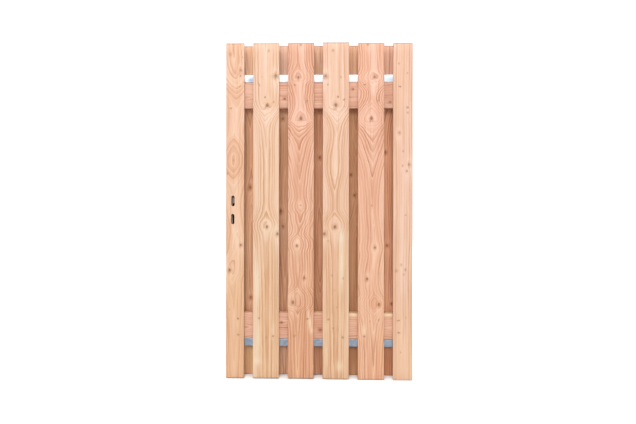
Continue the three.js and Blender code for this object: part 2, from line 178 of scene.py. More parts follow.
def wood(name, centre, rings, knots, light, late, tint, tint2, heart, depth=26.0, ring=12.8, vee=8.0, specks=(), seed=0, z_mid=900.0,
         along="z", contrast=1.0, flip=False, stain_and_shade=(), gain=(1.0, 1.0, 1.0), wander=12.0, knot_tone=0.8, painted_foot_shade=0.0, ends=None, painted_top_light=None):
    """Softwood. centre: [(length position, pith line across)]; rings: [(length position, rings crossed so far)]."""
    def tone(c):
        return tuple(min(0.93, q * w) for q, w in zip(c[:3], gain)) + (1.0,)

    light, late, tint, tint2, heart = (tone(c) for c in (light, late, tint, tint2, heart))
    mat = bpy.data.materials.new(name)
    mat.use_nodes = True
    nt = mat.node_tree
    nt.nodes.clear()
    t = Tree(nt)
    out = nt.nodes.new("ShaderNodeOutputMaterial")
    bs = nt.nodes.new("ShaderNodeBsdfPrincipled")
    nt.links.new(bs.outputs[0], out.inputs[0])
    tc = nt.nodes.new("ShaderNodeTexCoord")
    sep = nt.nodes.new("ShaderNodeSeparateXYZ")
    nt.links.new(tc.outputs["Object"], sep.inputs[0])
    ex = t.mul(sep.outputs[0], 1000.0)
    y = t.mul(sep.outputs[1], 1000.0)
    ez = t.mul(sep.outputs[2], 1000.0)
    x, z = (ex, ez) if along == "z" else (ez, ex)
    if flip:  # the face that is seen is the rear one
        y = t.mul(y, -1.0)
    sd = seed * 173.7

    def lookup(pts):
        pts = sorted(pts)
        lo, hi = pts[0][0], pts[-1][0]
        v0 = min(p[1] for p in pts)
        v1 = max(max(p[1] for p in pts), v0 + 1e-3)
        c = t.curve(t.m("MULTIPLY", t.sub(z, lo), 1.0 / (hi - lo), clamp=True), [((p - lo) / (hi - lo), (v - v0) / (v1 - v0)) for p, v in pts])
        return t.mad(c, v1 - v0, v0)

    # slow wander of the grain
    w1 = t.sub(t.noise(t.xyz(t.mad(x, 0.009, sd), t.mul(y, 0.009), t.mul(z, 0.0022)), 1.0, 2.0), 0.5)
    w2 = t.sub(t.noise(t.xyz(t.mad(x, 0.05, sd), t.mul(y, 0.03), t.mad(z, 0.011, 3.0)), 1.0, 2.0), 0.5)
    X = t.add(t.mad(w1, wander, x), t.mul(w2, 6.0))
    lift = body = hearts = halo = None
    for kx, kz, r, dark, bump in knots:
        p, l, b, h, ha = branch_knot(t, x, y, z, kx, kz, r, min(0.8, 0.55 * bump), 1.0 * bump)
        X = t.add(X, p)
        lift = l if lift is None else t.add(lift, l)
        b = t.mul(b, min(1.0, dark * 1.1))
        h = t.mul(h, min(1.0, dark * 1.5))
        ha = t.mul(ha, 0.5 if r > 6 else 0.25)
        body = b if body is None else t.m("MAXIMUM", body, b)
        hearts = h if hearts is None else t.m("MAXIMUM", hearts, h)
        halo = ha if halo is None else t.m("MAXIMUM", halo, ha)
    dots = None
    for sx, sz, r, amt in specks:
        a = t.mul(t.sub(x, sx), 1.0 / r)
        b = t.mul(t.sub(z, sz), 0.8 / r)
        g = t.mul(t.m("EXPONENT", t.mul(t.mad(a, a, t.mul(b, b)), -1.0)), amt)
        dots = g if dots is None else t.m("MAXIMUM", dots, g)
    # the year rings: nested cones round the pith, cut by the face
    c = lookup(centre) if len(centre) > 1 else centre[0][1]
    dxp = t.sub(X, c)
    xe = t.add(t.m("SQRT", t.mad(dxp, dxp, 12.0)), vee)
    deep = lookup(depth) if isinstance(depth, list) else depth
    d = t.mad(w2, 5.0, t.sub(deep, t.add(y, 36.0)))
    d2 = t.mul(d, d)
    R = t.sub(t.m("SQRT", t.mad(xe, xe, d2)), t.m("SQRT", t.add(d2, vee * vee)))
    if len(rings) > 1:
        R = t.mad(lookup(rings), ring, R)
    if lift is not None:
        R = t.add(R, lift)
    wv = t.sub(t.noise(t.xyz(t.mad(X, 0.06, sd), 2.0, t.mul(z, 0.022)), 1.0, 2.0), 0.5)
    Rr = t.mul(t.mad(wv, 3.5, R), 1.0 / ring)
    Rw = t.add(Rr, t.mul(t.noise(t.xyz(t.mad(Rr, 0.33, sd), 0.0, 0.0), 1.0, 1.0), 1.5))
    tt = t.m("FRACT", Rw)
    line = t.mul(t.step(tt, 0.35, 0.86), t.step(tt, 1.0, 0.93))
    t2 = t.m("FRACT", t.mad(Rw, 2.0, 0.3))
    thin = t.mul(t.step(t2, 0.35, 0.85), t.step(t2, 1.0, 0.88))
    # each year's ring is a little different, and the lines fade in and out along the board
    year = t.noise(t.xyz(t.mul(t.m("FLOOR", Rw), 0.71), sd, 0.0), 1.0, 0.0)
    fade = t.noise(t.xyz(t.mad(X, 0.02, sd), 5.0, t.mul(z, 0.004)), 1.0, 2.0)
    line = t.mul(t.mul(line, t.step(year, 0.36, 0.70, 0.13, 1.12)), t.step(fade, 0.30, 0.64, 0.30, 1.0))
    thin = t.mul(thin, t.step(fade, 0.35, 0.6, 0.12, 0.0))
    band = t.noise(t.xyz(t.mad(Rr, 0.30, sd + 9.0), t.mul(X, 0.004), t.mul(z, 0.0009)), 1.0, 2.5)
    band2 = t.noise(t.xyz(t.mad(X, 0.017, sd + 31.0), t.mul(y, 0.01), t.mul(z, 0.0016)), 1.0, 2.0)
    fibre = t.noise(t.xyz(t.mul(X, 0.9), t.mul(y, 0.9), t.mul(z, 0.012)), 1.0, 3.0, 0.65)
    fine = t.noise(t.xyz(t.mul(X, 2.6), t.mul(y, 2.6), t.mul(z, 0.09)), 1.0, 2.0, 0.6)
    streak = t.noise(t.xyz(t.mad(X, 0.14, sd), t.mul(y, 0.1), t.mul(z, 0.0028)), 1.0, 3.0, 0.55)
    col = t.mix(t.step(band, 0.38, 0.60), light, tint)
    col = t.mix(t.mul(t.step(band2, 0.44, 0.62), 0.9), col, tint2)
    col = t.mix(t.mul(t.step(streak, 0.48, 0.68), 0.42 * contrast), col, late)
    col = t.mix(t.mul(thin, contrast), col, late)
    col = t.mix(t.mul(line, 0.95 * contrast), col, late)
    pale = tone(tuple(min(1.0, q * w) for q, w in zip(light[:3], (1.10, 1.18, 1.22))) + (1.0,)) if gain == (1.0, 1.0, 1.0) else tuple(min(0.93, q * w) for q, w in zip(light[:3], (1.10, 1.18, 1.22))) + (1.0,)
    col = t.mix(t.mul(t.step(tt, 0.30, 0.02), 0.45 * contrast), col, pale)
    if halo is not None:
        col = t.mix(halo, col, pale)
    f = t.add(t.mul(t.sub(fibre, 0.5), 0.30), t.mul(t.sub(fine, 0.5), 0.16))
    grey = t.mad(f, 1.0, 1.0)
    col = t.mix(1.0, col, t.xyz(grey, grey, t.mad(f, 1.2, 1.0)), "MULTIPLY")
    for sx, sz, rx, rz, rgb, amt in stain_and_shade:
        a = t.mul(t.sub(x, sx), 1.0 / rx)
        b = t.mul(t.sub(z, sz), 1.0 / rz)
        g = t.m("EXPONENT", t.mul(t.mad(a, a, t.mul(b, b)), -1.0))
        g = t.mul(g, t.step(fibre, 0.3, 0.6, 0.55, 1.0))
        col = t.mix(t.mul(g, amt), col, tone(srgb(*rgb)))
    if body is not None:
        brown = tuple(h + (l - h) * 0.30 for h, l in zip(heart[:3], late[:3])) + (1.0,)
        col = t.mix(t.mul(body, knot_tone * 0.7), col, brown)
        col = t.mix(t.mul(hearts, knot_tone * 1.1), col, heart)
    if dots is not None:
        col = t.mix(dots, col, tuple(q * 0.8 for q in heart[:3]) + (1.0,))
    if painted_top_light:  # painted light: the inner face is painted paler above the frame, where more light falls in from above
        k = t.mul(t.step(z, 1590.0, 1650.0), t.step(y, -24.0, -23.0))
        col = t.mix(k, col, t.mix(1.0, col, tuple(painted_top_light) + (1.0,), "MULTIPLY"))
    if ends:  # a darker strip runs along the top end of the board and a fainter one along its foot
        k = t.m("MAXIMUM", t.step(z, ends[1] - 6.0, ends[1] - 1.0), t.mul(t.step(z, ends[0] + 5.0, ends[0] + 0.5), 0.75))
        col = t.mix(t.mul(k, 0.75), col, tone(srgb(146, 116, 98)))
    if painted_foot_shade:  # painted shade: the foot of the board is painted a little darker and browner than its top, where less light falls
        k = t.step(z, 1700.0, 60.0)
        col = t.mix(t.mul(k, painted_foot_shade), col, t.mix(1.0, col, (0.94, 0.93, 0.82, 1.0), "MULTIPLY"))
    nt.links.new(col, bs.inputs["Base Color"])
    rough = t.mad(t.sub(fibre, 0.5), 0.18, t.mad(line, -0.08, 0.66))
    nt.links.new(rough, bs.inputs["Roughness"])
    hgt = t.add(t.mul(line, -0.5), t.add(t.mul(fibre, 0.7), t.mul(fine, 0.5)))
    if hearts is not None:
        hgt = t.add(hgt, t.mul(hearts, -0.6))
    bp = nt.nodes.new("ShaderNodeBump")
    bp.inputs["Strength"].default_value = 0.30
    bp.inputs["Distance"].default_value = 0.0005
    nt.links.new(hgt, bp.inputs["Height"])
    nt.links.new(bp.outputs[0], bs.inputs["Normal"])
    bs.inputs["Specular IOR Level"].default_value = 0.28
    return mat


def steel(name, base, dark, rough, metallic=0.9, spangle=1.0, brushed=None, painted_lock_shade=False, stains=()):
    mat = bpy.data.materials.new(name)
    mat.use_nodes = True
    nt = mat.node_tree
    nt.nodes.clear()
    t = Tree(nt)
    out = nt.nodes.new("ShaderNodeOutputMaterial")
    bs = nt.nodes.new("ShaderNodeBsdfPrincipled")
    nt.links.new(bs.outputs[0], out.inputs[0])
    tc = nt.nodes.new("ShaderNodeTexCoord")
    sep = nt.nodes.new("ShaderNodeSeparateXYZ")
    nt.links.new(tc.outputs["Object"], sep.inputs[0])
    x, y, z = (t.mul(sep.outputs[i], 1000.0) for i in range(3))
    vec = t.xyz(x, y, z)
    wob = t.noise(vec, 0.05, 2.0)
    vo = nt.nodes.new("ShaderNodeTexVoronoi")
    vo.inputs["Scale"].default_value = 0.085
    nt.links.new(t.xyz(t.mad(wob, 9.0, x), t.mad(wob, -7.0, y), t.mad(wob, 8.0, z)), vo.inputs["Vector"])
    cell = nt.nodes.new("ShaderNodeSeparateColor")
    nt.links.new(vo.outputs["Color"], cell.inputs[0])
    cloud = t.noise(vec, 0.012, 4.0, 0.6)
    fine = t.noise(vec, 0.9, 3.0, 0.6)
    f = t.add(t.mul(t.sub(cell.outputs[0], 0.5), 0.50 * spangle), t.mul(t.sub(cloud, 0.5), 1.3))
    f = t.add(f, t.mul(t.sub(fine, 0.5), 0.25))
    if brushed:
        s = {"x": (0.02, 3.0, 3.0), "z": (3.0, 3.0, 0.02)}[brushed]
        br = t.noise(t.xyz(t.mul(x, s[0]), t.mul(y, s[1]), t.mul(z, s[2])), 1.0, 2.0)
        f = t.add(f, t.mul(t.sub(br, 0.5), 0.6))
    col = t.mix(t.m("ADD", f, 0.45, clamp=True), base, dark)
    for sx, sz, rx, rz, rgb, amt in stains:
        a = t.mul(t.sub(x, sx), 1.0 / rx)
        b = t.mul(t.sub(z, sz), 1.0 / rz)
        g = t.m("EXPONENT", t.mul(t.mad(a, a, t.mul(b, b)), -1.0))
        col = t.mix(t.mul(g, t.step(fine, 0.3, 0.6, 0.6 * amt, amt)), col, srgb(*rgb))
    if painted_lock_shade:  # painted shade round the lock's cut-outs: the stile's front face there is painted dark brown-grey, with painted shadow under the top of each slot, painted light lower down in the lower slot and painted black shade beside the holes
        k = t.mul(t.step(y, -18.8, -19.3), t.mul(t.step(z, 800.0, 822.0), t.step(z, 1010.0, 990.0)))
        col = t.mix(t.mul(k, 0.97), col, t.mix(cloud, (0.27, 0.225, 0.185, 1.0), (0.20, 0.165, 0.13, 1.0)))
        # painted shadow: near-black under the top edge of each slot
        top = t.m("MAXIMUM", t.mul(t.step(z, 966.0, 977.0), t.step(z, 996.0, 990.0)), t.mul(t.step(z, 868.0, 882.0), t.step(z, 900.0, 892.0)))
        col = t.mix(t.mul(t.mul(k, top), 0.85), col, (0.035, 0.018, 0.008, 1.0))
        # painted light: a paler grey towards the foot of the lower slot
        low = t.mul(t.step(z, 868.0, 836.0), t.step(z, 818.0, 824.0))
        col = t.mix(t.mul(t.mul(k, low), 0.8), col, (0.40, 0.385, 0.36, 1.0))
        # painted black shade over the right part of each slot, where the holes lead into the tube
        painted_black_shade = t.mul(t.step(x, -468.4, -466.6), t.m("MAXIMUM", t.mul(t.step(z, 818.0, 824.0), t.step(z, 898.0, 892.0)), t.mul(t.step(z, 918.0, 922.0), t.step(z, 943.0, 938.0))))
        col = t.mix(t.mul(k, painted_black_shade), col, (0.0025, 0.0015, 0.001, 1.0))
        # painted shade: the tube's inner faces round the lock are painted near-black
        inner = t.mul(t.mul(t.step(y, -19.3, -19.0), t.step(y, 19.3, 19.0)), t.mul(t.step(x, -480.3, -479.9), t.step(x, -443.7, -444.1)))
        inner = t.mul(inner, t.mul(t.step(z, 780.0, 800.0), t.step(z, 1015.0, 1000.0)))
        col = t.mix(inner, col, (0.006, 0.005, 0.0045, 1.0))
        painted_black_shade = t.m("MAXIMUM", painted_black_shade, inner)
        k = t.m("MAXIMUM", k, inner)
        # no metal and no shine where the painted black shade lies
        nt.links.new(t.mul(t.sub(1.0, t.mul(k, painted_black_shade)), metallic), bs.inputs["Metallic"])
        nt.links.new(t.mul(t.sub(1.0, t.mul(k, painted_black_shade)), 0.5), bs.inputs["Specular IOR Level"])
    nt.links.new(col, bs.inputs["Base Color"])
    nt.links.new(t.m("ADD", t.mul(t.sub(cell.outputs[1], 0.5), 0.16 * spangle), t.mad(t.sub(fine, 0.5), 0.2, rough), clamp=True), bs.inputs["Roughness"])
    if not painted_lock_shade:
        bs.inputs["Metallic"].default_value = metallic
    bp = nt.nodes.new("ShaderNodeBump")
    bp.inputs["Strength"].default_value = 0.25
    bp.inputs["Distance"].default_value = 0.0004
    nt.links.new(t.add(t.mul(cloud, 2.0), t.mul(fine, 0.4)), bp.inputs["Height"])
    nt.links.new(bp.outputs[0], bs.inputs["Normal"])
    return mat


def plastic(name, rgb, rough):
    mat = bpy.data.materials.new(name)
    mat.use_nodes = True
    nt = mat.node_tree
    t = Tree(nt)
    bs = nt.nodes["Principled BSDF"]
    tc = nt.nodes.new("ShaderNodeTexCoord")
    n = t.noise(tc.outputs["Object"], 900.0, 3.0, 0.6)
    n2 = t.noise(tc.outputs["Object"], 60.0, 2.0)
    nt.links.new(t.mix(n2, rgb, tuple(c * 1.6 for c in rgb[:3]) + (1,)), bs.inputs["Base Color"])
    nt.links.new(t.mad(n, 0.25, rough), bs.inputs["Roughness"])
    bp = nt.nodes.new("ShaderNodeBump")
    bp.inputs["Strength"].default_value = 0.3
    bp.inputs["Distance"].default_value = 0.0002
    nt.links.new(n, bp.inputs["Height"])
    nt.links.new(bp.outputs[0], bs.inputs["Normal"])
    return mat


# ---------------------------------------------------------------- mesh helpers
def to_object(bm, name, smooth=True, angle=32.0):
    me = bpy.data.meshes.new(name)
    bmesh.ops.recalc_face_normals(bm, faces=bm.faces)
    bm.to_mesh(me)
    bm.free()
    o = bpy.data.objects.new(name, me)
    scene.collection.objects.link(o)
    if smooth:
        me.shade_smooth()
        me.set_sharp_from_angle(angle=math.radians(angle))
    return o


def section(x0, x1, y0, y1, r, n=3):
    pts = []
    for cx, cy, a0 in ((x1 - r, y0 + r, -90), (x1 - r, y1 - r, 0), (x0 + r, y1 - r, 90), (x0 + r, y0 + r, 180)):
        for k in range(n + 1):
            a = math.radians(a0 + 90.0 * k / n)
            pts.append((cx + r * math.cos(a), cy + r * math.sin(a)))
    return pts


def board_mesh(bm, x0, x1, y0, y1, z0, z1, r=2.2, seed=0, along="z", wave=0.35):
    """A planed board: eased long edges, slightly wandering sides, softly broken ends."""
    L = z1 - z0
    n = max(6, int(L / 45))
    rows = [(z0, 1.0), (z0 + 0.5, 0.35), (z0 + 1.3, 0.0)]
    rows += [(z0 + 1.3 + (L - 2.6) * k / n, 0.0) for k in range(1, n)]
    rows += [(z1 - 1.3, 0.0), (z1 - 0.5, 0.35), (z1, 1.0)]
    loops = []
    for z, inset in rows:
        wl = wave * (noise.noise(Vector((seed * 7.1, 0.2, z / 260.0))) - 0.35)
        wr = wave * (noise.noise(Vector((seed * 7.1, 9.2, z / 260.0))) - 0.35)
        wl, wr = max(0.0, wl), max(0.0, wr)
        pts = section(x0 + inset + wl, x1 - inset - wr, y0 + inset, y1 - inset, r)
        loop = []
        for px, py in pts:
            co = (px, py, z) if along == "z" else (z, py, px)
            loop.append(bm.verts.new(Vector(co) * MM))
        loops.append(loop)
    for a, b in zip(loops, loops[1:]):
        m = len(a)
        for k in range(m):
            bm.faces.new((a[k], a[(k + 1) % m], b[(k + 1) % m], b[k]))
    bm.faces.new(list(reversed(loops[0])))
    bm.faces.new(loops[-1])


def lathe_y(bm, profile, x, z, seg=28):
    """A closed solid of revolution round Y: profile is [(y, r)] from one axis end to the other."""
    prev = None
    first = last = None
    for y, r in profile:
        if r <= 1e-6:
            ring = [bm.verts.new(Vector((x, y, z)) * MM)]
        else:
            ring = [bm.verts.new(Vector((x + r * math.cos(2 * math.pi * k / seg), y, z + r * math.sin(2 * math.pi * k / seg))) * MM) for k in range(seg)]
        if prev is not None:
            if len(prev) == 1:
                for k in range(len(ring)):
                    bm.faces.new((prev[0], ring[k], ring[(k + 1) % len(ring)]))
            elif len(ring) == 1:
                for k in range(len(prev)):
                    bm.faces.new((prev[k], ring[0], prev[(k + 1) % len(prev)]))
            else:
                for k in range(seg):
                    bm.faces.new((prev[k], ring[k], ring[(k + 1) % seg], prev[(k + 1) % seg]))
        prev = ring


def rounded_prism_y(bm, x0, x1, z0, z1, y0, y1, r, n=10):
    pts = section(x0, x1, z0, z1, r, n)
    a = [bm.verts.new(Vector((px, y0, pz)) * MM) for px, pz in pts]
    b = [bm.verts.new(Vector((px, y1, pz)) * MM) for px, pz in pts]
    m = len(pts)
    for k in range(m):
        bm.faces.new((a[k], b[k], b[(k + 1) % m], a[(k + 1) % m]))
    bm.faces.new(a)
    bm.faces.new(list(reversed(b)))


def cut(obj, cutter_bm):
    c = to_object(cutter_bm, obj.name + "_cutter", smooth=False)
    md = obj.modifiers.new("cut", "BOOLEAN")
    md.operation = "DIFFERENCE"
    md.solver = "EXACT"
    md.object = c
    dg = bpy.context.evaluated_depsgraph_get()
    me = bpy.data.meshes.new_from_object(obj.evaluated_get(dg))
    obj.modifiers.clear()
    old = obj.data
    obj.data = me
    bpy.data.meshes.remove(old)
    bpy.data.objects.remove(c, do_unlink=True)
    me.shade_smooth()
    me.set_sharp_from_angle(angle=math.radians(32))


def atlas(obj, x0, x1, y0, y1, z0, z1, along="z"):
    """Gives each long face its own strip, so fine grain keeps its sharpness along the board."""
    me = obj.data
    for l in list(me.uv_layers):
        me.uv_layers.remove(l)
    uv = me.uv_layers.new(name="OFBake").data
    w = x1 - x0
    t = y1 - y0
    L = z1 - z0
    for p in me.polygons:
        n = p.normal
        nx, ny, nz = (n.x, n.y, n.z) if along == "z" else (n.z, n.y, n.x)
        ax = max((abs(nx), "x"), (abs(ny), "y"), (abs(nz), "z"))[1]
        for li in p.loop_indices:
            c = me.vertices[me.loops[li].vertex_index].co * 1000
            x, y, z = (c.x, c.y, c.z) if along == "z" else (c.z, c.y, c.x)
            fx, fy, fz = (x - x0) / w, (y - y0) / t, (z - z0) / L
            if ax == "y":
                u = 0.01 + 0.41 * fx + (0.0 if ny < 0 else 0.43)
                v = 0.01 + 0.90 * fz
            elif ax == "x":
                u = 0.87 + 0.05 * fy + (0.0 if nx < 0 else 0.065)
                v = 0.01 + 0.90 * fz
            else:
                u = 0.01 + 0.45 * fx + (0.0 if nz < 0 else 0.5)
                v = 0.93 + 0.06 * fy
            uv[li].uv = (min(max(u, 0.002), 0.998), min(max(v, 0.002), 0.998))


def keep(obj, body, *nodes, slot=None, mat=None):
    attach(obj, body)
    if nodes:
        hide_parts(*nodes)
    if mat:
        obj.data.materials.clear()
        obj.data.materials.append(mat)
    return obj


# ---------------------------------------------------------------- wood, board by board
def at(rows):
    """Rows counted down from the top of the gate, 5.373 mm each, turned into heights."""
    return [(1803.0 - (r - 43.0) * 5.373, v) for r, v in rows]


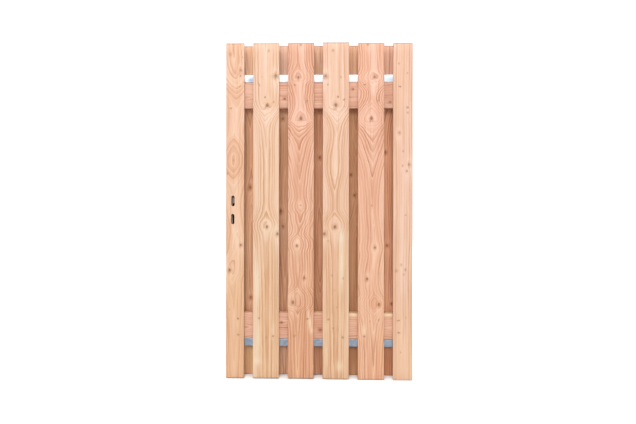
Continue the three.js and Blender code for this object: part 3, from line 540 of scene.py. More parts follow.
FRONT_WOOD = {
    1: dict(contrast=0.84, centre=at([(43, -462), (70, -452), (90, -446), (110, -448), (135, -458), (160, -460), (200, -462), (245, -436), (270, -470), (300, -458), (378, -455)]), seed=1, depth=at([(43, 30), (80, 46), (100, 46), (130, 26), (160, 40), (190, 40), (240, 30), (378, 25)]),
            rings=at([(43, 0), (60, 0.3), (70, 0.8), (80, 2.2), (90, 4.4), (97, 5.9), (104, 6.8), (112, 7.2), (130, 7.2), (138, 6.2), (150, 4.6), (160, 4.0), (170, 4.9), (180, 6.4), (192, 7.8), (205, 8.3), (225, 8.3), (240, 7.4), (256, 6.8), (268, 5.6), (278, 6.8), (290, 7.6), (330, 8.4), (378, 9.2)]),
            knots=[(-421, 1658, 9.5, .42, .5), (-423, 1628, 7.0, .45, .4), (-420, 718, 9.0, .6, .7), (-480, 583, 10.5, .7, 1.2)],
            specks=[(-478, 1744, 7.0, .35), (-412, 1728, 3.0, .5), (-460, 1174, 4.0, .45), (-492, 1103, 5.0, .6), (-481, 370, 3.0, .5), (-437, 322, 3.6, .5), (-436, 236, 4.0, .5)],
            stain_and_shade=[(-450, 110, 50, 200, (232, 176, 140), .35), (-478, 1744, 12, 20, (216, 168, 132), .6), (-444, 1640, 34, 9, (222, 160, 130), .45), (-412, 1650, 12, 26, (214, 164, 132), .35), (-460, 800, 9, 26, (255, 232, 206), .7), (-449, 762, 9, 26, (255, 232, 206), .7), (-440, 730, 10, 20, (255, 230, 204), .6), (-466, 590, 14, 34, (255, 224, 196), .5), (-438, 290, 6, 26, (255, 228, 200), .6)],
            light=srgb(250, 212, 183), late=srgb(212, 150, 108), tint=srgb(240, 193, 158), tint2=srgb(243, 200, 164)),
    2: dict(contrast=0.9, centre=at([(43, -288), (110, -284), (120, -287), (160, -283), (226, -284), (260, -280), (378, -276)]), seed=2, depth=at([(43, 34), (100, 40), (112, 30), (121, 14), (150, 16), (200, 16), (222, 34), (235, 34), (300, 26), (378, 26)]),
            rings=at([(43, 0), (95, 0.3), (103, 0.7), (110, 1.8), (114, 2.6), (121, 3.9), (127, 4.6), (150, 5.1), (200, 5.3), (215, 4.9), (221, 4.0), (226, 3.7), (232, 4.3), (245, 4.7), (300, 4.8), (378, 5.0)]),
            knots=[(-232, 1628, 12.0, .55, .7), (-290, 1513, 6.0, .6, .4), (-278, 1470, 13.0, .62, 1.1), (-279, 817, 10.0, .68, 1.1), (-222, 779, 11.0, .6, .7)],
            specks=[(-270, 1763, 5.5, .5), (-320, 1577, 3.6, .5), (-306, 1622, 3.2, .3), (-321, 325, 4.2, .55), (-281, 222, 3.6, .5), (-244, 230, 3.2, .4), (-322, 545, 3.0, .3)],
            stain_and_shade=[(-232, 1624, 26, 12, (190, 160, 132), .5), (-255, 1490, 50, 30, (236, 188, 150), .5), (-330, 520, 12, 110, (255, 236, 210), .9), (-326, 210, 11, 130, (255, 236, 208), .85), (-240, 800, 60, 50, (255, 228, 200), .45), (-246, 262, 10, 40, (255, 226, 200), .6), (-279, 440, 16, 260, (230, 176, 134), .45), (-332, 96, 20, 22, (255, 236, 210), .9)],
            light=srgb(252, 218, 191), late=srgb(216, 164, 120), tint=srgb(243, 200, 164), tint2=srgb(245, 203, 172)),
    3: dict(contrast=1.22, centre=at([(43, -114), (77, -111), (98, -104), (118, -98), (140, -106), (170, -104), (205, -98), (230, -108), (245, -118), (275, -112), (302, -122), (320, -116), (378, -112)]), seed=3, depth=at([(43, 20), (70, 24), (80, 45), (98, 22), (112, 20), (119, 26), (124, 52), (130, 50), (141, 24), (170, 14), (200, 14), (206, 22), (232, 14), (245, 24), (280, 16), (290, 18), (302, 30), (313, 16), (378, 20)]),
            rings=at([(43, 0), (60, 0.0), (67, -0.4), (74, -1.2), (77, -1.3), (82, 0.0), (86, 0.6), (98, 0.7), (109, 0.2), (115, -0.8), (118, -1.0), (122, 0.4), (125, 1.4), (128, 2.3), (134, 3.4), (141, 4.4), (155, 5.4), (170, 6.6), (182, 7.3), (195, 7.9), (202, 7.4), (206, 7.3), (213, 8.4), (222, 9.0), (232, 9.8), (237, 8.8), (245, 8.0), (252, 8.7), (270, 8.5), (284, 8.8), (290, 7.6), (302, 6.3), (308, 7.6), (313, 8.9), (322, 9.4), (345, 9.8), (378, 10.2)]),
            knots=[(-98, 1795, 7.0, .4, .4), (-111, 1620, 10.5, .62, .9), (-97, 1399, 12.0, .68, 1.1), (-118, 716, 8.5, .66, .8), (-78, 543, 8.5, .75, .7), (-139, 412, 13.0, .6, 1.1)],
            specks=[(-98, 933, 4.2, .6), (-125, 1577, 3.4, .45), (-70, 1485, 3.6, .5), (-64, 322, 3.4, .45), (-124, 235, 3.4, .45)],
            stain_and_shade=[(-56, 345, 6, 34, (255, 224, 200), .9), (-47, 300, 9, 38, (255, 226, 202), 1.0), (-40, 262, 8, 20, (255, 224, 198), .9), (-112, 742, 14, 22, (255, 222, 196), .6), (-104, 944, 12, 20, (255, 218, 192), .6), (-106, 462, 12, 30, (255, 220, 194), .5), (-104, 1500, 16, 60, (246, 204, 180), .5), (-113, 1100, 36, 160, (228, 168, 138), .5), (-112, 366, 10, 14, (206, 148, 118), .6)],
            light=srgb(247, 202, 177), late=srgb(201, 136, 100), tint=srgb(238, 185, 154), tint2=srgb(233, 178, 148)),
    4: dict(contrast=0.9, centre=at([(43, 88), (105, 94), (120, 98), (140, 94), (180, 84), (210, 86), (226, 84), (260, 88), (378, 92)]), seed=4, depth=at([(43, 34), (104, 40), (112, 26), (121, 14), (150, 14), (205, 12), (222, 30), (235, 30), (300, 26), (378, 26)]),
            rings=at([(43, 0), (95, 0.2), (103, 0.4), (109, 1.3), (113, 2.2), (121, 3.8), (128, 4.7), (138, 5.0), (165, 4.4), (180, 5.2), (206, 6.3), (213, 5.8), (220, 4.6), (226, 4.2), (232, 4.9), (250, 5.3), (300, 5.4), (378, 5.7)]),
            knots=[(35, 1627, 11.0, .5, .6), (102, 1515, 6.0, .7, .4), (90, 1470, 12.5, .75, 1.1), (86, 817, 12.0, .7, 1.0), (30, 780, 11.5, .6, .7)],
            specks=[(75, 1763, 6.5, .5), (117, 1620, 4.6, .45), (50, 1455, 2.6, .3), (135, 1463, 4.2, .35), (136, 1505, 3.0, .4), (54, 322, 4.4, .6), (78, 275, 4.6, .5), (130, 222, 4.4, .5), (70, 557, 4.6, .4), (130, 542, 4.6, .45), (84, 478, 3.4, .35), (96, 387, 3.6, .35), (50, 742, 4.0, .4)],
            stain_and_shade=[(34, 1622, 20, 12, (186, 158, 132), .45), (122, 610, 12, 150, (255, 238, 214), .95), (124, 300, 12, 90, (255, 228, 200), .5), (122, 760, 14, 46, (255, 238, 214), .9), (40, 140, 12, 90, (255, 228, 200), .7), (112, 70, 20, 30, (255, 232, 206), .8), (88, 1150, 10, 110, (255, 230, 202), .6), (40, 280, 12, 40, (255, 226, 198), .5)],
            light=srgb(251, 214, 189), late=srgb(213, 156, 114), tint=srgb(241, 195, 162), tint2=srgb(243, 196, 168)),
    5: dict(contrast=1.22, centre=at([(43, 290), (77, 296), (95, 288), (118, 281), (150, 288), (185, 286), (205, 286), (247, 300), (278, 284), (303, 302), (325, 294), (378, 292)]), seed=5, depth=at([(43, 20), (72, 24), (80, 34), (88, 16), (95, 12), (104, 14), (114, 20), (120, 28), (126, 56), (132, 50), (148, 26), (165, 18), (185, 14), (215, 14), (247, 24), (290, 18), (303, 30), (325, 12), (378, 16)]),
            rings=at([(43, 0), (68, 0.1), (73, -0.5), (77, -0.8), (82, 0.6), (88, 1.6), (95, 2.6), (100, 2.4), (106, 1.2), (114, -0.4), (118, -0.8), (122, 0.6), (125, 1.6), (129, 2.7), (138, 3.8), (148, 4.6), (157, 5.6), (165, 6.3), (185, 7.5), (200, 7.9), (215, 8.0), (240, 8.0), (247, 7.6), (255, 8.1), (278, 8.0), (292, 7.8), (297, 7.0), (303, 6.4), (309, 7.4), (314, 8.2), (328, 9.0), (345, 9.6), (378, 10.2)]),
            knots=[(262, 1797, 7.5, .4, .4), (298, 1620, 10.0, .62, 1.0), (281, 1400, 12.5, .72, 1.1), (300, 708, 8.5, .7, .7), (259, 540, 9.0, .72, .8), (321, 404, 10.0, .66, 1.0)],
            specks=[(283, 933, 4.2, .6), (322, 322, 3.8, .5), (275, 312, 3.8, .45), (246, 232, 4.2, .6), (320, 1512, 3.0, .4), (328, 1430, 2.6, .35)],
            stain_and_shade=[(291, 1550, 12, 36, (255, 226, 204), .7), (288, 1190, 16, 70, (255, 220, 196), .5), (288, 1000, 26, 110, (230, 170, 138), .4), (243, 262, 10, 30, (255, 230, 206), .85), (302, 700, 22, 22, (255, 220, 196), .5), (262, 548, 16, 24, (255, 222, 198), .5)],
            light=srgb(249, 206, 181), late=srgb(204, 140, 104), tint=srgb(240, 186, 155), tint2=srgb(242, 190, 164)),
    6: dict(centre=[(0, 322)], seed=6, depth=60.0, rings=at([(43, 0), (120, 0.4), (200, 0.1), (280, 0.5), (378, 0.2)]), vee=0.0, contrast=0.85,
            knots=[(430, 1322, 8.0, .35, .4), (482, 1152, 10.0, .45, .6), (470, 1118, 8.0, .4, .5), (447, 1146, 6.0, .3, .3)],
            specks=[(427, 1692, 4.4, .5), (472, 1641, 3.4, .6), (426, 1570, 3.0, .4), (472, 1457, 4.6, .7), (474, 1430, 5.0, .5), (450, 1224, 4.4, .45), (464, 882, 3.4, .6), (414, 584, 7.0, .45), (440, 617, 6.0, .4), (462, 590, 6.0, .5), (454, 565, 5.0, .4), (420, 318, 3.8, .5), (466, 334, 3.4, .4), (424, 254, 4.0, .6), (438, 149, 3.8, .4)],
            stain_and_shade=[(448, 110, 50, 180, (255, 228, 194), .35), (452, 1340, 9, 140, (222, 164, 138), .4), (428, 745, 16, 60, (224, 176, 152), .3)],
            light=srgb(251, 216, 193), late=srgb(220, 164, 128), tint=srgb(244, 200, 170), tint2=srgb(243, 200, 172)),
}
HEART = srgb(162, 114, 84)
FRONT_GAIN = {1: (0.677, 0.651, 0.669), 2: (0.675, 0.677, 0.722), 3: (0.685, 0.659, 0.662), 4: (0.661, 0.658, 0.679), 5: (0.672, 0.632, 0.635), 6: (0.652, 0.63, 0.635)}
REAR_GAIN = {1: (0.8, 0.75, 0.67), 2: (0.745, 0.72, 0.66), 3: (0.69, 0.63, 0.565), 4: (0.625, 0.575, 0.485), 5: (0.763, 0.687, 0.616)}
# painted light: per-board tint that paints the rear boards' inner face paler above the frame
REAR_PAINTED_TOP_LIGHT = {1: (0.97, 1.08, 1.22), 2: (0.99, 1.09, 1.3), 3: (1.06, 1.28, 1.52), 4: (1.21, 1.37, 1.68), 5: (0.921, 1.066, 1.302)}
RAIL_GAIN = (0.67, 0.66, 0.67)
REAR_TONE = {1: (232, 180, 146), 2: (224, 172, 140), 3: (222, 166, 132), 4: (220, 166, 130), 5: (230, 172, 138)}
# colour patches on the rear boards: the one at 760 on board 2 is a stain; those at the foot (z 90-110), below the
# lower tube, are painted shade
REAR_STAIN_AND_FOOT_SHADE = {
    1: [(-380, 110, 60, 80, (212, 182, 134), .65)],
    2: [(-190, 110, 50, 70, (214, 168, 148), .5), (-190, 760, 60, 90, (206, 164, 142), .4)],
    3: [(-5, 110, 60, 80, (214, 156, 120), .4)],
    4: [(185, 110, 60, 90, (206, 150, 110), .7)],
    5: [(373, 90, 60, 110, (192, 132, 98), .95)],
}
REAR_KNOTS = {
    1: [(-377, 1023, 11, .6, 1), (-373, 420, 10, .6, 1), (-340, 1560, 9, .6, .9)],
    2: [(-197, 1401, 10, .6, 1), (-208, 894, 11, .6, 1), (-197, 810, 9, .6, .9), (-150, 300, 9, .6, .9)],
    3: [(4, 1188, 11, .6, 1), (-40, 520, 9, .6, .9), (30, 1680, 8, .6, .8)],
    4: [(177, 1094, 9, .6, 1), (195, 982, 9, .6, .9), (140, 560, 10, .6, .9)],
    5: [(364, 1217, 9, .6, 1), (373, 708, 10, .6, 1), (397, 390, 8, .6, .9), (330, 1500, 9, .6, .9)],
}

random.seed(11)
for i, (x0, x1, z0, z1) in FRONT.items():
    bm = bmesh.new()
    board_mesh(bm, x0, x1, YF, -YC, z0, z1, seed=i)
    o = to_object(bm, "front_board_%d_planed" % i)
    cb = bmesh.new()
    for n, sx, sz, ylo, yhi in SCREWS:
        if n.split("_")[2].startswith(str(i)):
            s = YF + SINK
            lathe_y(cb, [(YF - 1, 0), (YF - 1, 5.0), (YF + 0.02, 4.9), (s, 4.65), (s + 4, 2.5), (-YC + 1, 2.5), (-YC + 1, 0)], sx, sz, 24)
    if i == 1:
        rounded_prism_y(cb, -472, -453.4, 926, 984, YF - 1, -YC + 1, 9.2)
        rounded_prism_y(cb, -473, -455, 829, 885, YF - 1, -YC + 1, 8.9)
    cut(o, cb)
    atlas(o, x0, x1, YF, -YC, z0, z1)
    keep(o, "leaf", "front_board_%d" % i, slot="front_boards", mat=wood("front_board_%d_wood" % i, heart=HEART, gain=FRONT_GAIN[i], painted_foot_shade=0.5 if i == 6 else 1.0, ends=(z0, z1), **FRONT_WOOD[i]))

rear_screws = []
for i, (x0, x1, z0, z1) in REAR.items():
    bm = bmesh.new()
    board_mesh(bm, x0, x1, YC, YC + T, z0, z1, seed=20 + i)
    o = to_object(bm, "rear_board_%d_planed" % i)
    cb = bmesh.new()
    c = (x0 + x1) / 2
    for zc in (281, 1525):
        for k, (dx, dz) in enumerate(((-42, 40), (40, -42))):
            sx, sz = c + dx + random.uniform(-5, 5), zc + dz + random.uniform(-6, 6)
            rear_screws.append((i, sx, sz))
            e = YC + T
            lathe_y(cb, [(YC - 1, 0), (YC - 1, 2.5), (e - SINK - 4, 2.5), (e - SINK, 4.65), (e - 0.02, 4.9), (e + 1, 5.0), (e + 1, 0)], sx, sz, 24)
    cut(o, cb)
    atlas(o, x0, x1, YC, YC + T, z0, z1)
    r, g, b = REAR_TONE[i]
    q = [random.uniform(0.0, 3.0) for _ in range(6)]
    m = wood("rear_board_%d_wood" % i, centre=[(0, c + random.uniform(-25, 25)), (1803, c + random.uniform(-25, 25))], seed=20 + i, flip=True, gain=REAR_GAIN[i], painted_top_light=REAR_PAINTED_TOP_LIGHT[i], ends=(z0, z1),
             rings=[(1803, 0), (1500, q[0]), (1250, q[0] + q[1]), (1000, q[1] + q[2]), (700, q[3]), (400, q[3] + q[4]), (0, q[5] + q[4])], depth=26.0,
             knots=REAR_KNOTS[i], stain_and_shade=REAR_STAIN_AND_FOOT_SHADE[i], light=srgb(min(255, r + 12), g + 14, b + 16), late=srgb(r - 40, g - 42, b - 40), tint=srgb(r, g, b), tint2=srgb(r - 8, g - 10, b - 10), heart=srgb(r - 70, g - 74, b - 70))
    keep(o, "leaf", "rear_board_%d" % i, slot="rear_boards", mat=m)

# ---------------------------------------------------------------- wooden rails
for name, z0, z1, kn, rg in (
    ("upper_wood_rail", 1455, 1595, [(1508, -189, 9, .7, .8), (1560, 180, 9, .6, .9), (1490, 380, 8, .6, .8)], [(-440, 0), (-200, 1.6), (0, 0.6), (200, 2.0), (440, 0.8)]),
    ("lower_wood_rail", 211, 351, [(300, -204, 9, .7, .8), (262, 6, 12, .55, 1.2), (320, 300, 8, .6, .8)], [(-440, 0.5), (-190, 2.0), (10, 0.2), (240, 1.8), (440, 0.6)]),
):
    bm = bmesh.new()
    board_mesh(bm, z0, z1, -19.7, 19.7, -441.6, 441.6, r=3.0, seed=len(name) + z0, along="x")
    o = to_object(bm, name + "_planed")
    cb = bmesh.new()
    for n, sx, sz, ylo, yhi in SCREWS:
        if n.startswith("screw_" + name.split("_")[0]) and yhi > 0:
            lathe_y(cb, [(-21, 0), (-21, 2.5), (yhi + 1.0, 2.5), (yhi + 1.0, 0)], sx, sz, 12)
    for i, sx, sz in rear_screws:
        if z0 < sz < z1:
            lathe_y(cb, [(9, 0), (9, 2.5), (21, 2.5), (21, 0)], sx, sz, 12)
    cut(o, cb)
    atlas(o, z0, z1, -19.7, 19.7, -441.6, 441.6, along="x")
    m = wood(name + "_wood", centre=[(0, (z0 + z1) / 2 - 8)], seed=40 + z0 % 7, contrast=1.0, along="x", z_mid=0.0, rings=rg, knots=kn, gain=RAIL_GAIN, depth=24.0,
             light=srgb(244, 194, 166), late=srgb(196, 138, 108), tint=srgb(234, 179, 150), tint2=srgb(230, 172, 142), heart=srgb(160, 104, 74),
             stain_and_shade=[(351, 0, 4, 34, (255, 226, 176), 0.9), (343, 185, 9, 40, (255, 230, 182), 1.0), (343, 373, 9, 40, (255, 230, 182), 1.0), (290, -380, 70, 45, (255, 210, 180), 0.35), (290, 185, 60, 45, (255, 216, 184), 0.4), (286, 373, 60, 45, (255, 210, 172), 0.35), (281, -5, 46, 30, (212, 148, 110), 0.45)] if z0 < 300 else [(1545, -380, 60, 45, (255, 216, 190), 0.4), (1520, 374, 60, 26, (206, 146, 118), 0.6), (1580, 374, 8, 12, (120, 100, 88), 0.3)])
    keep(o, "leaf", name, slot="wood_rails", mat=m)

# ---------------------------------------------------------------- steel frame
# painted light: the top and bottom tubes get lit and shaded copies of one galvanised finish; the top one is painted
# near-white as a highlight, with bluish patches near its ends
ZINC_PAINTED_HIGHLIGHT = steel("galvanised_painted_highlight", srgb(234, 240, 244), srgb(204, 214, 226), 0.42, 0.35, 0.7, stains=[(-366, 1609, 16, 11, (122, 140, 180), 1.0), (-352, 1617, 26, 17, (178, 192, 214), 0.75), (385, 1609, 26, 13, (168, 190, 202), 0.9)])
# painted shade: the darker blue-grey copy for the bottom tube
ZINC_PAINTED_SHADE = steel("galvanised_painted_shade", srgb(151, 163, 178), srgb(113, 127, 143), 0.38)
ZINC = steel("galvanised", srgb(206, 213, 220), srgb(146, 158, 170), 0.36)
# the lock side of the stile carries the painted shade round the lock's cut-outs
ZINC_LOCK = steel("galvanised_lock_side", srgb(206, 213, 220), srgb(146, 158, 170), 0.36, painted_lock_shade=True)


def tube_object(name, a0, a1, b0, b1, axis, cutter=None):
    """A box tube with a rounded section and open ends; a is across, b along."""
    bm = bmesh.new()
    half = 19.7
    outer = section(a0, a1, -half, half, 3.6, 6)
    inner = section(a0 + 2, a1 - 2, -half + 2, half - 2, 1.6, 6)

    def ring(pts, b):
        return [bm.verts.new(Vector((p, q, b) if axis == "z" else (b, q, p)) * MM) for p, q in pts]
    n = 12
    rows_o = [ring(outer, b0 + (b1 - b0) * k / n) for k in range(n + 1)]
    rows_i = [ring(inner, b0 + (b1 - b0) * k / n) for k in range(n + 1)]
    m = len(outer)
    for rows in (rows_o, rows_i):
        for r0, r1 in zip(rows, rows[1:]):
            for k in range(m):
                f = (r0[k], r0[(k + 1) % m], r1[(k + 1) % m], r1[k])
                bm.faces.new(f if rows is rows_o else tuple(reversed(f)))
    for e in (0, -1):
        for k in range(m):
            f = (rows_o[e][k], rows_o[e][(k + 1) % m], rows_i[e][(k + 1) % m], rows_i[e][k])
            bm.faces.new(f if e else tuple(reversed(f)))
    o = to_object(bm, name)
    if cutter:
        cb = bmesh.new()
        cutter(cb)
        cut(o, cb)
    return o


def lathe_x(bm, profile, y, z, seg=40):
    b2 = bmesh.new()
    lathe_y(b2, profile, 0, 0, seg)
    me = bpy.data.meshes.new("tmp")
    b2.to_mesh(me)
    b2.free()
    # turns Y to X and moves it into place
    me.transform(Matrix.Translation(Vector((0, y, z)) * MM) @ Matrix.Rotation(-math.pi / 2, 4, "Z"))
    bm.from_mesh(me)
    bpy.data.meshes.remove(me)


def latch_cuts(cb):
    vs = [bm_v for bm_v in ()]
    bmesh.ops.create_cube(cb, size=1.0, matrix=Matrix.Translation(Vector((-480.75, 0, 897)) * MM) @ Matrix.Diagonal((3.5 * MM, 16.6 * MM, 172 * MM, 1)))
    lathe_y(cb, [(-25, 0), (-25, 8), (25, 8), (25, 0)], -457, 936, 40)
    rounded_prism_y(cb, -463.5, -447.5, 836, 880, -25, 25, 7.9)
    lathe_y(cb, [(-26, 0), (-26, 2.5), (-15.7, 2.5), (-15.7, 0)], -474, 1453, 20)


def hinge_cuts(cb):
    for z in (1400, 400):
        lathe_x(cb, [(430, 0), (430, 13.3), (490, 13.3), (490, 0)], 0, z, 48)
    lathe_y(cb, [(-26, 0), (-26, 2.5), (-15.7, 2.5), (-15.7, 0)], 474, 1457, 20)


o = tube_object("latch_stile_tube", -482, -442, 170, 1636, "z", latch_cuts)
keep(o, "leaf", "latch_stile", slot="galvanised_steel", mat=ZINC_LOCK)
o = tube_object("hinge_stile_tube", 442, 482, 170, 1636, "z", hinge_cuts)
keep(o, "leaf", "hinge_stile", slot="galvanised_steel", mat=ZINC)
o = tube_object("top_box_tube", 1596, 1636, -441.7, 441.7, "x")
keep(o, "leaf", "frame_top_tube", slot="galvanised_steel", mat=ZINC_PAINTED_HIGHLIGHT)
o = tube_object("bottom_box_tube", 170, 210, -441.7, 441.7, "x")
keep(o, "leaf", "frame_bottom_tube", slot="galvanised_steel", mat=ZINC_PAINTED_SHADE)
for n, z in (("upper", 1400), ("lower", 400)):
    bm = bmesh.new()
    prof = [(442.0, 8.5), (442.0, 12.5), (442.5, 13.0), (481.5, 13.0), (482.0, 12.5), (482.0, 9.3), (481.2, 8.5), (442.0, 8.5)]
    b2 = bmesh.new()
    seg = 48
    rings = [[b2.verts.new(Vector((px, r * math.cos(2 * math.pi * k / seg), z + r * math.sin(2 * math.pi * k / seg))) * MM) for k in range(seg)] for px, r in prof[:-1]]
    for a, b in zip(rings, rings[1:] + rings[:1]):
        for k in range(seg):
            b2.faces.new((a[k], a[(k + 1) % seg], b[(k + 1) % seg], b[k]))
    bm.free()
    o = to_object(b2, "hinge_sleeve_%s_turned" % n)
    keep(o, "leaf", "hinge_sleeve_" + n, slot="galvanised_steel", mat=ZINC)


# weld beads: rippled, low, along each visible joint of the frame
def bead(name, path, r, closed=False):
    """A rippled half-sunk bead along a list of points, in millimetres."""
    bm = bmesh.new()
    seg = 10
    rings = []
    n = len(path)
    for k, p in enumerate(path):
        p = Vector(p)
        a = Vector(path[(k - 1) % n if closed else max(0, k - 1)])
        b = Vector(path[(k + 1) % n if closed else min(n - 1, k + 1)])
        d = (b - a).normalized()
        u = d.orthogonal().normalized()
        v = d.cross(u)
        rr = r * (1.0 + 0.13 * math.sin(k * 2.1) + 0.08 * noise.noise(Vector((k * 0.37, r, 0))))
        if not closed and k in (0, n - 1):
            rr *= 0.45
        rings.append([bm.verts.new((p + u * rr * math.cos(2 * math.pi * s / seg) + v * rr * math.sin(2 * math.pi * s / seg)) * MM) for s in range(seg)])
    prs = list(zip(rings, rings[1:])) + ([(rings[-1], rings[0])] if closed else [])
    for a, b in prs:
        # keep the sides lined up where the frame turns
        off = min(range(seg), key=lambda q: (b[q].co - a[0].co).length)
        for s in range(seg):
            bm.faces.new((a[s], a[(s + 1) % seg], b[(s + 1 + off) % seg], b[(s + off) % seg]))
    if not closed:
        bm.faces.new(rings[0])
        bm.faces.new(rings[-1])
    o = to_object(bm, name, angle=60)
    keep(o, "leaf", slot="galvanised_steel", mat=ZINC)


for side, x in (("latch", -441.9), ("hinge", 441.9)):
    for which, z in (("top", 1635.6), ("bottom", 170.4)):
        bead("weld_%s_%s" % (which, side), [(x, yy * 0.5, z) for yy in range(-34, 35)], 1.7)
for which, z in (("upper", 1400), ("lower", 400)):
    bead("weld_sleeve_" + which, [(482.0, 13.3 * math.cos(a * math.pi / 36), z + 13.3 * math.sin(a * math.pi / 36)) for a in range(72)], 1.3, closed=True)

# ---------------------------------------------------------------- plastic end plugs
PLUG = plastic("plug_plastic", (0.018, 0.018, 0.02, 1), 0.45)
for side, xc in (("latch", -462.0), ("hinge", 462.0)):
    for which, zt, s in (("top", 1636.3, 1), ("bottom", 169.7, -1)):
        bm = bmesh.new()
        prof = [(0.0, 19.5, 3.2), (2.0, 19.5, 3.2), (2.7, 19.1, 3.0), (3.0, 18.4, 2.6)]
        rings = []
        for dz, half, r in [(-13.0, 17.2, 1.0)] + [(0.0, 17.2, 1.0)] + prof:
            hy = min(half, 19.2)
            rings.append([bm.verts.new(Vector((px, py, zt + s * dz)) * MM) for px, py in section(xc - half, xc + half, -hy, hy, r, 5)])
        m = len(rings[0])
        for a, b in zip(rings, rings[1:]):
            for k in range(m):
                bm.faces.new((a[k], a[(k + 1) % m], b[(k + 1) % m], b[k]))
        bm.faces.new(rings[0])
        bm.faces.new(rings[-1])
        o = to_object(bm, "end_plug_%s_%s" % (side, which))
        keep(o, "leaf", "cap_%s_%s" % (side, which), slot="plastic_plugs", mat=PLUG)

# ---------------------------------------------------------------- screws
SCREW = steel("screw_steel", (0.62, 0.40, 0.24, 1), (0.42, 0.25, 0.14, 1), 0.45, 0.7, 0.2)


def screw_mesh(name, length, flip=False):
    """Countersunk wood screw with a six-lobed socket, thread and point; the head's top is at y 0."""
    bm = bmesh.new()
    seg = 30
    def lobe(k, r):
        a = 2 * math.pi * k / seg
        return r * (1.0 + 0.16 * math.cos(6 * a))
    rows = [("s", 2.0, 1.25), ("s", 2.0, 1.45), ("s", 0.15, 1.6)]
    rings = []
    for kind, y, r in rows:
        rings.append([bm.verts.new(Vector((lobe(k, r) * math.cos(2 * math.pi * k / seg), y, lobe(k, r) * math.sin(2 * math.pi * k / seg))) * MM) for k in range(seg)])
    prof = [(0.0, 1.95), (0.0, 4.05), (0.35, 4.35), (0.8, 4.25), (3.7, 2.35), (5.0, 2.1)]
    y = 5.0
    while y < length - 6:
        prof += [(y + 0.9, 1.45), (y + 1.5, 2.15), (y + 1.7, 2.15), (y + 2.3, 1.45)]
        y += 2.3
    prof += [(length - 4, 1.4), (length, 0.25)]
    for py, r in prof:
        rings.append([bm.verts.new(Vector((r * math.cos(2 * math.pi * k / seg), py, r * math.sin(2 * math.pi * k / seg))) * MM) for k in range(seg)])
    for a, b in zip(rings, rings[1:]):
        for k in range(seg):
            bm.faces.new((a[k], a[(k + 1) % seg], b[(k + 1) % seg], b[k]))
    bm.faces.new(rings[0])
    bm.faces.new(rings[-1])
    if flip:
        bmesh.ops.rotate(bm, verts=bm.verts, matrix=Matrix.Rotation(math.pi, 3, "Z"))
    return to_object(bm, name, angle=40)


for n, sx, sz, ylo, yhi in SCREWS:
    o = screw_mesh(n + "_turned", yhi - ylo)
    o.data.transform(Matrix.Rotation(random.uniform(0, 1.0), 4, "Y"))
    o.data.transform(Matrix.Translation(Vector((sx, ylo, sz)) * MM))
    keep(o, "leaf", n, slot="wood_screws", mat=SCREW)
for k, (i, sx, sz) in enumerate(rear_screws):
    o = screw_mesh("rear_screw_%d_%d" % (i, k % 4 + 1), 25.5, flip=True)
    o.data.transform(Matrix.Rotation(random.uniform(0, 1.0), 4, "Y"))
    o.data.transform(Matrix.Translation(Vector((sx, YC + T - SINK - 0.1, sz)) * MM))
    keep(o, "leaf", slot="wood_screws", mat=SCREW)

# ---------------------------------------------------------------- lock
STAINLESS = steel("stainless_brushed", (0.62, 0.61, 0.59, 1), (0.45, 0.445, 0.43, 1), 0.28, 1.0, 0.0, "z")
# dark phosphated steel for the lock case, cover and follower, its colour taken almost black as painted shade for the
# dark inside of the stile
PHOSPHATE_AND_PAINTED_SHADE = steel("phosphated_painted_shade", (0.009, 0.0085, 0.008, 1), (0.005, 0.005, 0.005, 1), 0.72, 0.3, 0.2)
PHOSPHATE_AND_PAINTED_SHADE.node_tree.nodes["Principled BSDF"].inputs["Specular IOR Level"].default_value = 0.1
SPRING = steel("spring_steel", (0.34, 0.34, 0.35, 1), (0.22, 0.22, 0.23, 1), 0.3, 1.0, 0.0)
for n, m in (("lock_forend", STAINLESS), ("latch_bolt", STAINLESS), ("deadbolt", STAINLESS), ("forend_screw_lower", STAINLESS), ("forend_screw_upper", STAINLESS),
             ("lock_case", PHOSPHATE_AND_PAINTED_SHADE), ("lock_cover", PHOSPHATE_AND_PAINTED_SHADE), ("follower", PHOSPHATE_AND_PAINTED_SHADE), ("deadbolt_leaf_spring", SPRING)):
    o = NODES[n]
    o.data.materials.clear()
    o.data.materials.append(m)
    if n in ("lock_forend", "latch_bolt", "deadbolt"):
        bv = o.modifiers.new("eased", "BEVEL")
        bv.width = 0.0004
        bv.segments = 2
        bv.limit_method = "ANGLE"
        bv.angle_limit = math.radians(40)

# latch spring: round wire, closed end coils
bm = bmesh.new()
xs0, xs1 = -471.1, -447.4
turns, rc, rw, N, seg = 8.5, 2.3, 0.42, 170, 8
rings = []
for k in range(N + 1):
    f = k / N
    e = min(1.0, max(0.0, (f - 0.09) / 0.82))
    px = xs0 + (xs1 - xs0) * (0.03 * min(1, f / 0.09) + 0.94 * e + 0.03 * max(0, (f - 0.91) / 0.09))
    a = 2 * math.pi * turns * f
    c = Vector((px, rc * math.cos(a), 967.6 + rc * math.sin(a)))
    rad = Vector((0, math.cos(a), math.sin(a)))
    rings.append([bm.verts.new((c + rad * rw * math.cos(2 * math.pi * s / seg) + Vector((1, 0, 0)) * rw * math.sin(2 * math.pi * s / seg)) * MM) for s in range(seg)])
for a, b in zip(rings, rings[1:]):
    for s in range(seg):
        bm.faces.new((a[s], a[(s + 1) % seg], b[(s + 1) % seg], b[s]))
bm.faces.new(rings[0])
bm.faces.new(rings[-1])
o = to_object(bm, "latch_spring_coil", angle=60)
o.data.materials.append(SPRING)
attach(o, "leaf")
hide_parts("latch_spring")
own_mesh(o)

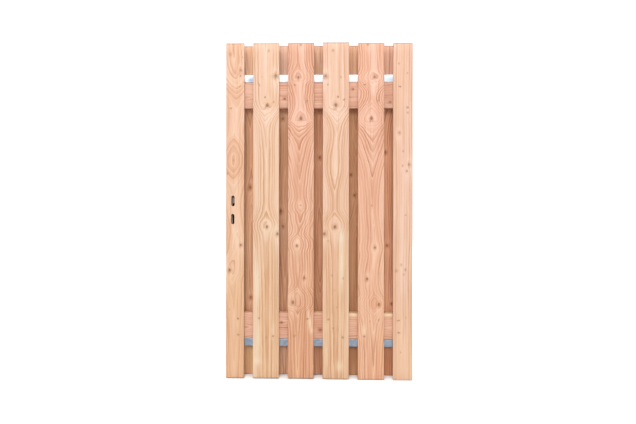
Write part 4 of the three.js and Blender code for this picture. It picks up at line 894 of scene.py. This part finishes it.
# ---------------------------------------------------------------- floor, light, camera
def simple(name, rgb, rough=0.9):
    m = bpy.data.materials.new(name)
    m.use_nodes = True
    b = m.node_tree.nodes["Principled BSDF"]
    b.inputs["Base Color"].default_value = rgb
    b.inputs["Roughness"].default_value = rough
    b.inputs["Specular IOR Level"].default_value = 0.0
    return m


bm = bmesh.new()
bmesh.ops.create_grid(bm, x_segments=2, y_segments=2, size=14.0)
floor = to_object(bm, "floor", smooth=False)
floor.location = (0, 0, -0.001)
floor_pale = simple("floor_pale", (0.985, 0.985, 0.985, 1))
# the far floor keeps the paleness of the wall behind it
ft = Tree(floor_pale.node_tree)
far = floor_pale.node_tree.nodes.new("ShaderNodeVectorMath")
far.operation = "LENGTH"
floor_pale.node_tree.links.new(floor_pale.node_tree.nodes.new("ShaderNodeTexCoord").outputs["Object"], far.inputs[0])
floor_bsdf = floor_pale.node_tree.nodes["Principled BSDF"]
floor_bsdf.inputs["Emission Color"].default_value = (1.0, 1.0, 1.0, 1.0)
floor_pale.node_tree.links.new(ft.step(far.outputs["Value"], 1.0, 5.0, 0.0, 0.09), floor_bsdf.inputs["Emission Strength"])
floor.data.materials.append(floor_pale)


def area(name, loc, target, size, power, color=(1, 1, 1), sy=None):
    l = bpy.data.lights.new(name, "AREA")
    l.shape = "RECTANGLE"
    l.size = size
    l.size_y = sy or size
    l.energy = power
    l.color = color
    o = bpy.data.objects.new(name, l)
    scene.collection.objects.link(o)
    o.location = loc
    o.rotation_euler = (Vector(target) - Vector(loc)).to_track_quat("-Z", "Y").to_euler()
    return o


area("fill", (2.6, -3.2, 1.6), (0, 0, 0.9), 2.6, 8, (0.97, 0.985, 1.0))
area("overhead", (0.0, -0.75, 3.6), (0, -0.15, 1.0), 2.6, 46, (1.0, 0.995, 0.985), sy=1.4)
area("back", (1.5, 3.6, 2.8), (0, 0, 0.9), 2.6, 66, (1.0, 0.99, 0.97))
sun = bpy.data.lights.new("key", "SUN")
sun.energy = 1.45
sun.angle = math.radians(28)
sun.color = (1.0, 0.985, 0.96)
so = bpy.data.objects.new("key", sun)
scene.collection.objects.link(so)
so.location = (-1.5, -3.5, 3.3)
so.rotation_euler = Vector((math.sin(math.radians(5)) * math.cos(math.radians(36)), math.cos(math.radians(5)) * math.cos(math.radians(36)), -math.sin(math.radians(36)))).to_track_quat("-Z", "Y").to_euler()
world = bpy.data.worlds.new("studio")
scene.world = world
world.use_nodes = True
world.node_tree.nodes["Background"].inputs["Color"].default_value = (0.98, 0.99, 1.0, 1)
wt = world.node_tree
lp = wt.nodes.new("ShaderNodeLightPath")
mr = wt.nodes.new("ShaderNodeMapRange")
mr.inputs["To Min"].default_value = 0.72
mr.inputs["To Max"].default_value = 1.1
wt.links.new(lp.outputs["Is Camera Ray"], mr.inputs["Value"])
wt.links.new(mr.outputs["Result"], wt.nodes["Background"].inputs["Strength"])

cam = bpy.data.cameras.new("camera")
cam.sensor_fit = "HORIZONTAL"
cam.sensor_width = 36.0
cam.lens = 26.774
cam.shift_y = -0.06684
co = bpy.data.objects.new("camera", cam)
scene.collection.objects.link(co)
co.matrix_world = Matrix.Translation((0.05280, -2.57129, 1.12508)) @ Matrix.Rotation(math.radians(1.3044), 4, "Z") @ Matrix.Rotation(math.radians(90), 4, "X") @ Matrix.Rotation(math.radians(0.081), 4, "Z")
scene.camera = co
scene.view_settings.view_transform = "Standard"
scene.view_settings.look = "None"
scene.view_settings.exposure = 0.0
scene.view_settings.gamma = 1.0
